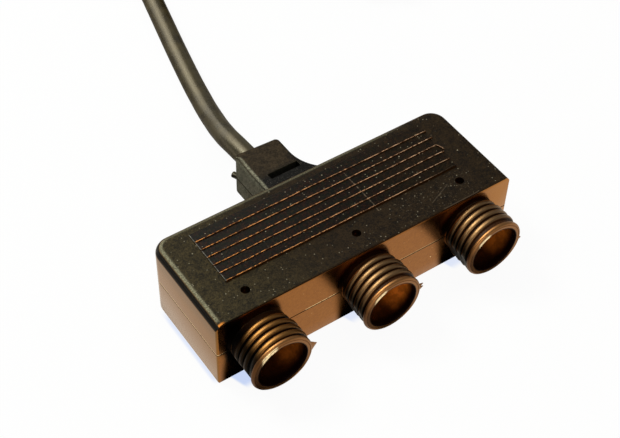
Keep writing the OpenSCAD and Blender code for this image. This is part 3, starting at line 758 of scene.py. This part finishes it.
# Painted shade in the pocket in the boot's top.
painted_pocket_shade = behind * abs(y - BACK - 4.8 * MM).fall(0.95 * MM, 1.1 * MM) * z.fall(19.3 * MM, 19.5 * MM)
painted_pocket_shade = painted_pocket_shade * x.rise(-6.1 * MM, -5.9 * MM) * x.fall(3.6 * MM, 3.8 * MM)
painted_pocket_shade = painted_pocket_shade * z.rise(15.4 * MM, 15.5 * MM)
skin = painted_pocket_shade.blend(skin, seen(7, 5, 3))

# The spigots: dark bronze with painted highlights on the thread's crests, painted shade in its
# grooves and on the left, a painted glare on each mouth and painted light in the sockets. The
# first is painted darker on its left, and the painted glare on its mouth is wider.
first = x.fall(-24 * MM, -22 * MM)
shaded = (from_axis - first * 1.4 * MM).fall(-8.6 * MM, -4.5 * MM)
shaded = shaded * (below - first * 3.4 * MM).fall(2 * MM, 6.5 * MM) * 0.95
# The grooves: painted shade, near black, with a painted highlight towards the top.
groove = (below - first * 3 * MM).rise(2 * MM, 7 * MM).blend(seen(7, 5, 4), seen(58, 36, 20))
crest_lit = first.blend(seen(114, 89, 62), seen(116, 82, 46))
crest_dark = first.blend(seen(36, 32, 26), seen(15, 14, 12))
spigot_painted_light = crest.blend(groove, shaded.blend(crest_lit, crest_dark))
spigot_painted_light = mouth.blend(spigot_painted_light, (shaded * 0.85).blend(seen(140, 99, 62), seen(66, 44, 27)))
inner = (reach - first * 7.4 * MM ** 2).fall((7.86 * MM) ** 2, (7.94 * MM) ** 2)
inner = inner * (depth - first * 0.4 * MM).fall(0.3 * MM, 0.6 * MM)
# A painted glare on the inner rim of each mouth, up and to the left.
glare = inner * (from_axis - first * 0.9 * MM).fall(-3.1 * MM, -2.1 * MM)
glare = glare * from_axis.rise(-6.2 * MM, -5.4 * MM) * below.rise(2.5 * MM, 4 * MM)
glare = glare * (0.4 + mottle.rise(0.3, 0.5) * 0.6)
skin = ahead.blend(skin, spigot_painted_light)
# Painted light on the walls inside the sockets, stronger deeper in and to the right of each axis.
glow = depth.rise(1.2 * MM, 5.5 * MM) * (0.42 + x.rise(-22 * MM, -10 * MM) * 0.68)
glow = glow * (1 - x.rise(16 * MM, 24 * MM) * 0.5) * (0.55 + cloud.rise(0.35, 0.62) * 0.45)
glow = glow * (0.12 + from_axis.rise(MM, 5.5 * MM) * 0.88)
wall = glow.blend(seen(22, 6, 3), seen(255, 142, 54))
wall = (specks.rise(0.5, 0.9) * 0.6).blend(wall, seen(190, 150, 120))
skin = inside.blend(skin, wall)
skin = glare.blend(skin, seen(255, 232, 186))

# The smooth faces shine like bronze, and the spark-eroded ones are matt.
metal = (1 - topside) * (1 - turning) * (1 - behind)
metal = metal * (1 - ahead) + ahead * crest.most(mouth)
metal = (metal * (1 - inside)).most(glare)
eroded = upward * (1 - ahead) * (1 - inside)
rough = 0.2 + eroded * (0.25 + grain * 0.16)
rough = rough * (1 - behind) + behind * 0.5
rough = rough * (1 - ahead) + ahead * (0.42 - glare * 0.32)
pitted = eroded * 0.85 + behind * 0.5 + (1 - ahead) * 0.1
relief = bumps((grain + mottle) * pitted, 0.6, 0.00016)
close_material(pen, {
    "Base Color": skin,
    "Metallic": metal,
    "Roughness": rough,
    "Normal": relief,
    "Specular IOR Level": 0.06,
})
paint(housing, plastic)
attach(housing, "splitter")
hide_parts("housing")


# The socket inserts, and the plug's: turned up from hard dark plastic, locked in the moulding by
# a groove, with a round hole for each contact. Only their front faces can be seen.
insert_plastic, pen, place = new_material("insert plastic")
cloud = clouds(place, 700, 4)
grain = clouds(place, 4200, 2)
close_material(pen, {
    "Base Color": cloud.rise(0.3, 0.7).blend(seen(38, 37, 38), seen(58, 56, 54)),
    "Roughness": 0.42 + grain * 0.16,
    "Normal": bumps(grain, 0.3, 0.00006),
})
for name in ("socket_insert_left", "socket_insert_middle", "socket_insert_right", "plug_insert"):
    paint(nodes[name], insert_plastic)


# The contacts and the plug's pins: turned from brass bar and plated, so they keep the fine
# rings of the tool, with a dull film between them. The bus wires are tinned copper.
for title, wanted, dull, clean in (
        ("contact metal", ("contact_", "plug_pin_"), seen(176, 140, 76), seen(226, 192, 122)),
        ("tinned copper", ("bus_wire_",), seen(150, 146, 136), seen(206, 202, 192))):
    plating, pen, place = new_material(title)
    film = clouds(place, 900, 5)
    rings = pen.node("ShaderNodeTexWave", {"bands_direction": "Y"}, {
        "Vector": place, "Scale": 2200, "Distortion": 1.5, "Detail": 1}, "Fac")
    close_material(pen, {
        "Base Color": film.rise(0.35, 0.65).blend(dull, clean),
        "Metallic": 1.0,
        "Roughness": 0.2 + film * 0.2,
        "Normal": bumps(rings, 0.25, 0.00002),
    })
    for name, node in nodes.items():
        if name.startswith(wanted):
            paint(node, plating)


# The insulated cores: brown and blue plastic drawn over copper, smooth, a little chalky with
# the talc that keeps them loose in the jacket.
for title, wanted, low, high in (
        ("brown core", ("core_upper", "plug_core_upper"), seen(92, 52, 30), seen(124, 76, 46)),
        ("blue core", ("core_lower", "plug_core_lower"), seen(34, 70, 140), seen(56, 98, 172))):
    insulation, pen, place = new_material(title)
    talc = clouds(place, 1400, 5)
    close_material(pen, {
        "Base Color": talc.rise(0.4, 0.75).blend(low, high),
        "Roughness": 0.35 + talc * 0.3,
        "Normal": bumps(talc, 0.2, 0.00004),
    })
    for name in wanted:
        paint(nodes[name], insulation)


# The plug's body: the same dark plastic as the housing, moulded over the insert and the cable's
# end. It has a smooth nose, a collar for the nut, a grip with eight flutes, and a tapered strain
# relief with three grooves that let it bend. It is made along Y and then put in its place.
turn = frame["record"]["behaviour"]["joints"][0]
heading = math.atan2(-turn["axis"][0], turn["axis"][1])
PLUG_PLACE = Matrix.Translation(turn["pos_m"]) @ Matrix.Rotation(heading, 4, "Z")
BACKWARDS = (0, 1, 0)
FLUTES = 8
RELIEF_START = 16.2
RELIEF_PITCH = 3.5
RELIEF_R = 6.2
RELIEF_TAPER = 0.1214
BODY = [
    (-13.2, 5.25), (-13.2, 6.35), (-13.1, 6.62), (-12.8, 6.8), (0, 6.8), (0, 7.8), (0.2, 8.0),
    (1.4, 8.0), (1.6, 7.8), (1.6, 7.2), (4.2, 7.2), (4.2, 8.5), (4.35, 8.95), (4.8, 9.2),
    (14.5, 9.2), (14.9, 9.05), (15.9, 6.9), (16.3, 6.35),
]
for i in range(3):
    start = RELIEF_START + RELIEF_PITCH * i
    thick = RELIEF_R - RELIEF_TAPER * (start - RELIEF_START)
    BODY += [(start + 0.9, thick - 0.1), (start + 1.1, thick - 0.25), (start + 1.4, thick - 1.0),
             (start + 1.7, thick - 1.15), (start + 2.1, thick - 1.15), (start + 2.4, thick - 1.0),
             (start + 2.7, thick - 0.45), (start + 2.9, thick - 0.35)]
BODY += [(29.7, 4.56), (30.1, 4.4), (30.2, 4.1), (30.2, 3.25), (22, 3.25), (22, 1), (-4.15, 1),
         (-4.15, 5.25)]
grip = turned("plug_moulding", BODY, (0, 0, 0), BACKWARDS)
for k in range(FLUTES):
    around = 2 * math.pi * (k + 0.5) / FLUTES
    out = Vector((math.sin(around), 0, math.cos(around))) * 10.4 * MM
    flute = add_rod("flute cut", out + Vector((0, 6.2 * MM, 0)), out + Vector((0, 14.2 * MM, 0)),
                    2 * MM, 32)
    bevel(flute, 1.3 * MM, 4, lambda e: abs(runs(e).y) < 0.1)
    cut_out(grip, flute)
smooth_over(grip)
grip.data.transform(PLUG_PLACE)

plug_plastic, pen, place = new_material("plug plastic")
cloud = clouds(place, 420, 3, 0.6)
grain = clouds(place, 3000, 3, 0.7)
close_material(pen, {
    "Base Color": (grain.rise(0.4, 0.62) * 0.6 + cloud.rise(0.38, 0.62) * 0.4).blend(
        seen(34, 30, 20), seen(84, 76, 56)),
    "Roughness": 0.4 + grain * 0.16,
    "Normal": bumps(grain + cloud * 0.4, 0.5, 0.00012),
    "Specular IOR Level": 0.3,
})
paint(grip, plug_plastic)
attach(grip, "splitter")
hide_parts("plug_body")


# The sealing ring: a soft red-brown rubber ring pushed over the nose up to the collar, where the
# nut presses it on the spigot's mouth. Its edges are round.
SEAL = [
    (-1.2, 7.1), (-1.2, 7.7), (-1.1, 7.9), (-0.9, 8.0), (-0.35, 8.0), (-0.12, 7.9), (-0.02, 7.7),
    (-0.02, 7.1), (-0.12, 6.92), (-0.3, 6.85), (-0.9, 6.85), (-1.1, 6.92),
]
seal = turned("seal_moulding", SEAL, (0, 0, 0), BACKWARDS)
smooth_over(seal)
seal.data.transform(PLUG_PLACE)

rubber, pen, place = new_material("seal rubber")
bloom = clouds(place, 1600, 5)
close_material(pen, {
    "Base Color": bloom.rise(0.4, 0.7).blend(seen(104, 40, 30), seen(136, 62, 48)),
    "Roughness": 0.55 + bloom * 0.2,
    "Normal": bumps(bloom, 0.3, 0.00006),
})
paint(seal, rubber)
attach(seal, "splitter")
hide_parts("sealing_ring")


# The coupling nut: moulded plastic with sixteen round ribs for the fingers. A screw thread runs
# round its inside, with the spigots' pitch, and its flange pulls on the plug's collar.
NUT_WALL_R = 9.1
NUT_RIBS = 16
NUT = [
    (-11.5, 9.35), (-11.5, 9.95), (-11.35, 10.28), (-11.0, 10.4), (3.4, 10.4), (3.75, 10.28),
    (3.9, 9.95), (3.9, 7.75), (3.7, 7.5), (2.1, 7.5), (1.9, 7.7), (1.9, 8.25), (-0.6, 8.25),
    (-1.0, NUT_WALL_R), (-11.2, NUT_WALL_R),
]
NUT_THREAD = [(-0.55, 9.3), (-0.55, 9.1), (-0.36, 8.5), (-0.26, 8.3), (-0.14, 8.25), (0.14, 8.25),
              (0.26, 8.3), (0.36, 8.5), (0.55, 9.1), (0.55, 9.3)]
nut_parts = [
    turned("nut wall", NUT, (0, 0, 0), BACKWARDS),
    screw_thread("nut thread", (0, 0, 0), NUT_THREAD, 1.7, 10.8, NUT_WALL_R, inner=True),
]
for k in range(NUT_RIBS):
    around = 2 * math.pi * k / NUT_RIBS
    out = Vector((math.sin(around), 0, math.cos(around))) * 10.2 * MM
    rib = add_rod("nut rib", out + Vector((0, -10.5 * MM, 0)), out + Vector((0, 2.9 * MM, 0)),
                  MM, 20)
    bevel(rib, 0.7 * MM, 4, lambda e: abs(runs(e).y) < 0.1)
    nut_parts.append(rib)
nut = join("nut_moulding", nut_parts)
smooth_over(nut)
nut.data.transform(PLUG_PLACE)

nut_plastic, pen, place = new_material("nut plastic")
cloud = clouds(place, 500, 4, 0.6)
grain = clouds(place, 3600, 2)
close_material(pen, {
    "Base Color": cloud.rise(0.35, 0.68).blend(seen(36, 32, 26), seen(66, 58, 46)),
    "Roughness": 0.3 + cloud * 0.2,
    "Normal": bumps(grain + cloud * 0.5, 0.35, 0.0001),
})
paint(nut, nut_plastic)
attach(nut, "nut")
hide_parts("coupling_nut")


# The two cable ties: black nylon straps pulled tight round the coil. Fine teeth run across the
# strap, and its trimmed end stands out of the square head.
nylon, pen, place = new_material("tie nylon")
haze = clouds(place, 800, 4)
close_material(pen, {
    "Base Color": haze.rise(0.35, 0.7).blend(seen(26, 26, 27), seen(48, 47, 46)),
    "Roughness": 0.32 + haze * 0.2,
    "Normal": bumps(haze, 0.3, 0.00008),
})
ties = []
for name, angle in (("coil_tie_near", -120), ("coil_tie_far", 60)):
    strap_mesh = nodes[name].data.copy()
    strap = bpy.data.objects.new("strap", strap_mesh)
    bpy.context.scene.collection.objects.link(strap)
    edit(strap, "FACE", lambda face: True)
    bpy.ops.mesh.select_all(action="SELECT")
    bpy.ops.mesh.remove_doubles(threshold=0.001 * MM)
    bpy.ops.mesh.dissolve_limited(angle_limit=math.radians(1))
    done()
    rounding = strap.modifiers.new("rounding", "BEVEL")
    rounding.width = 0.25 * MM
    rounding.segments = 2
    rounding.limit_method = "ANGLE"
    rounding.angle_limit = math.radians(40)
    bpy.context.view_layer.objects.active = strap
    bpy.ops.object.modifier_apply(modifier=rounding.name)
    tie_place = Matrix.Translation((COIL_CENTRE.x, COIL_CENTRE.y, 0)) @ Matrix.Rotation(
        math.radians(angle), 4, "Z")
    end = add_block("strap end", (34 * MM, -1.9 * MM, 15.9 * MM), (39.2 * MM, 1.9 * MM, 17.0 * MM))
    bevel(end, 0.25 * MM, 2, lambda e: True)
    tie_parts = [strap, end]
    for k in range(4):
        tooth = add_block("tooth", ((35.5 + 0.9 * k) * MM, -1.3 * MM, 16.8 * MM),
                          ((35.95 + 0.9 * k) * MM, 1.3 * MM, 17.2 * MM))
        bevel(tooth, 0.12 * MM, 1, lambda e: middle(e).z > 17.1 * MM)
        tie_parts.append(tooth)
    for piece in tie_parts[1:]:
        piece.data.transform(tie_place)
    tie = join(name.replace("coil_tie", "tie_strap"), tie_parts)
    smooth_over(tie)
    paint(tie, nylon)
    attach(tie, "splitter")
    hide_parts(name)
    ties.append(tie)

# The pieces on the cord's far end, listed.
([grip, seal, nut] + ties + [nodes[name] for name in (
        "plug_insert", "plug_pin_upper", "plug_pin_lower", "plug_core_upper",
        "plug_core_lower", "plug_cable_end")])


# The stage: a white floor that runs out of sight, a pale surround and five soft lamps.
bpy.ops.object.select_all(action="DESELECT")
bpy.ops.mesh.primitive_plane_add(size=6, location=(0, 0, 0))
floor = bpy.context.object
floor.name = "floor"
white, pen, place = new_material("white floor")
path = pen.node("ShaderNodeLightPath", output="Is Camera Ray")
gloss = pen.node("ShaderNodeLightPath", output="Is Glossy Ray")
x, y, z = place.parts()

# Mirrored in the splitter, the floor has painted shade in front of each spigot and behind the
# block, though not behind its left end.
ahead = FRONT - y
from_axis = from_nearest_axis(x)
first = x.fall(-24 * MM, -22 * MM)
others = x.rise(-24 * MM, -22 * MM)
in_row = abs(x).fall(46 * MM, 48 * MM)
edge = from_axis + 8.9 * MM - ahead.sum("MINIMUM", ahead, 7 * MM) * 0.7
edge = edge + first * (2 * MM + ahead.rise(5 * MM, 9 * MM) * 2.5 * MM)
under = edge.rise(-1.2 * MM, 1.2 * MM) * from_axis.fall(9 * MM, 12 * MM)
under = under * ahead.rise(-3 * MM, 0) * ahead.fall(18 * MM, 21.5 * MM) * in_row
far_side = y.rise(14 * MM, 20 * MM) * x.rise(-34 * MM, -26 * MM) * 0.75
mirrored_painted_shade = under.most(far_side)

# Seen straight, it is white, with a faint painted blue shadow at the foot of each spigot and the
# left end.
lean = from_axis + first * 1.2 * MM - ahead * 0.35
painted_blue_shadow = lean.rise(-7.6 * MM, -6.6 * MM) * lean.fall(-4 * MM, -2 * MM)
painted_blue_shadow = painted_blue_shadow * ahead.rise(-2 * MM, -0.5 * MM) * (ahead + others * 1.8 * MM).fall(3 * MM, 5.5 * MM)
painted_blue_shadow = painted_blue_shadow * in_row * (1 - others * 0.4)
foot = x.rise(-46.3 * MM, -45.2 * MM) * x.fall(-45 * MM, -44.6 * MM)
foot = foot * y.rise(-19 * MM, -16 * MM) * y.fall(4 * MM, 10 * MM)
painted_blue_shadow = painted_blue_shadow.most(foot * 0.6)
lit = pen.node("ShaderNodeBsdfDiffuse", None, {"Color": (0.85, 0.85, 0.85, 1)})
plain = pen.node("ShaderNodeEmission", None, {
    "Color": gloss.blend(
        (painted_blue_shadow * 0.8).blend((1, 1, 1, 1), seen(186, 206, 248)),
        mirrored_painted_shade.blend((1, 0.92, 0.8, 1), (0, 0, 0, 1))),
    "Strength": 1.0})
both = pen.node("ShaderNodeMixShader", None, {0: path * 0.95 + gloss, 1: lit, 2: plain})
pen.node("ShaderNodeOutputMaterial", None, {"Surface": both})
floor.data.materials.append(white)

world = bpy.data.worlds.new("surround")
bpy.context.scene.world = world
world.use_nodes = True
world.node_tree.nodes.clear()
pen = Shade(world.node_tree)
path = pen.node("ShaderNodeLightPath", output="Is Camera Ray")
gloss = pen.node("ShaderNodeLightPath", output="Is Glossy Ray")
soft = pen.node("ShaderNodeBackground", None, {
    "Color": (0.9, 0.95, 1, 1), "Strength": 0.18 + gloss * 0.2})
plain = pen.node("ShaderNodeBackground", None, {"Color": (1, 1, 1, 1), "Strength": 1})
both = pen.node("ShaderNodeMixShader", None, {0: path, 1: soft, 2: plain})
pen.node("ShaderNodeOutputWorld", None, {"Surface": both})


def add_lamp(name, direction, distance, size, power, colour):
    lamp_data = bpy.data.lights.new(name, "AREA")
    lamp_data.size = size
    lamp_data.energy = power
    lamp_data.color = colour
    lamp = bpy.data.objects.new(name, lamp_data)
    bpy.context.scene.collection.objects.link(lamp)
    lamp.location = Vector(direction).normalized() * distance
    lamp.rotation_euler = (-lamp.location).to_track_quat("-Z", "Y").to_euler()
    return lamp


add_lamp("window", (-0.3, 0.5, 0.8), 1.0, 0.35, 7, (0.95, 1, 0.9))
add_lamp("front lamp", (-0.39, -0.83, 0.36), 1.0, 0.3, 2.4, (1, 0.84, 0.64))
for direction, size, power in (((-0.3, 0.42, 0.86), 1.3, 14), ((-0.1, 0.88, 0.46), 0.8, 4)):
    glow_lamp = add_lamp("window glow", direction, 1.0, size, power, (1, 0.95, 0.82))
    glow_lamp.visible_diffuse = False
ceiling = add_lamp("ceiling", (0.3, 0.1, 1), 1.2, 0.9, 4, (1, 0.98, 0.94))
ceiling.visible_glossy = False
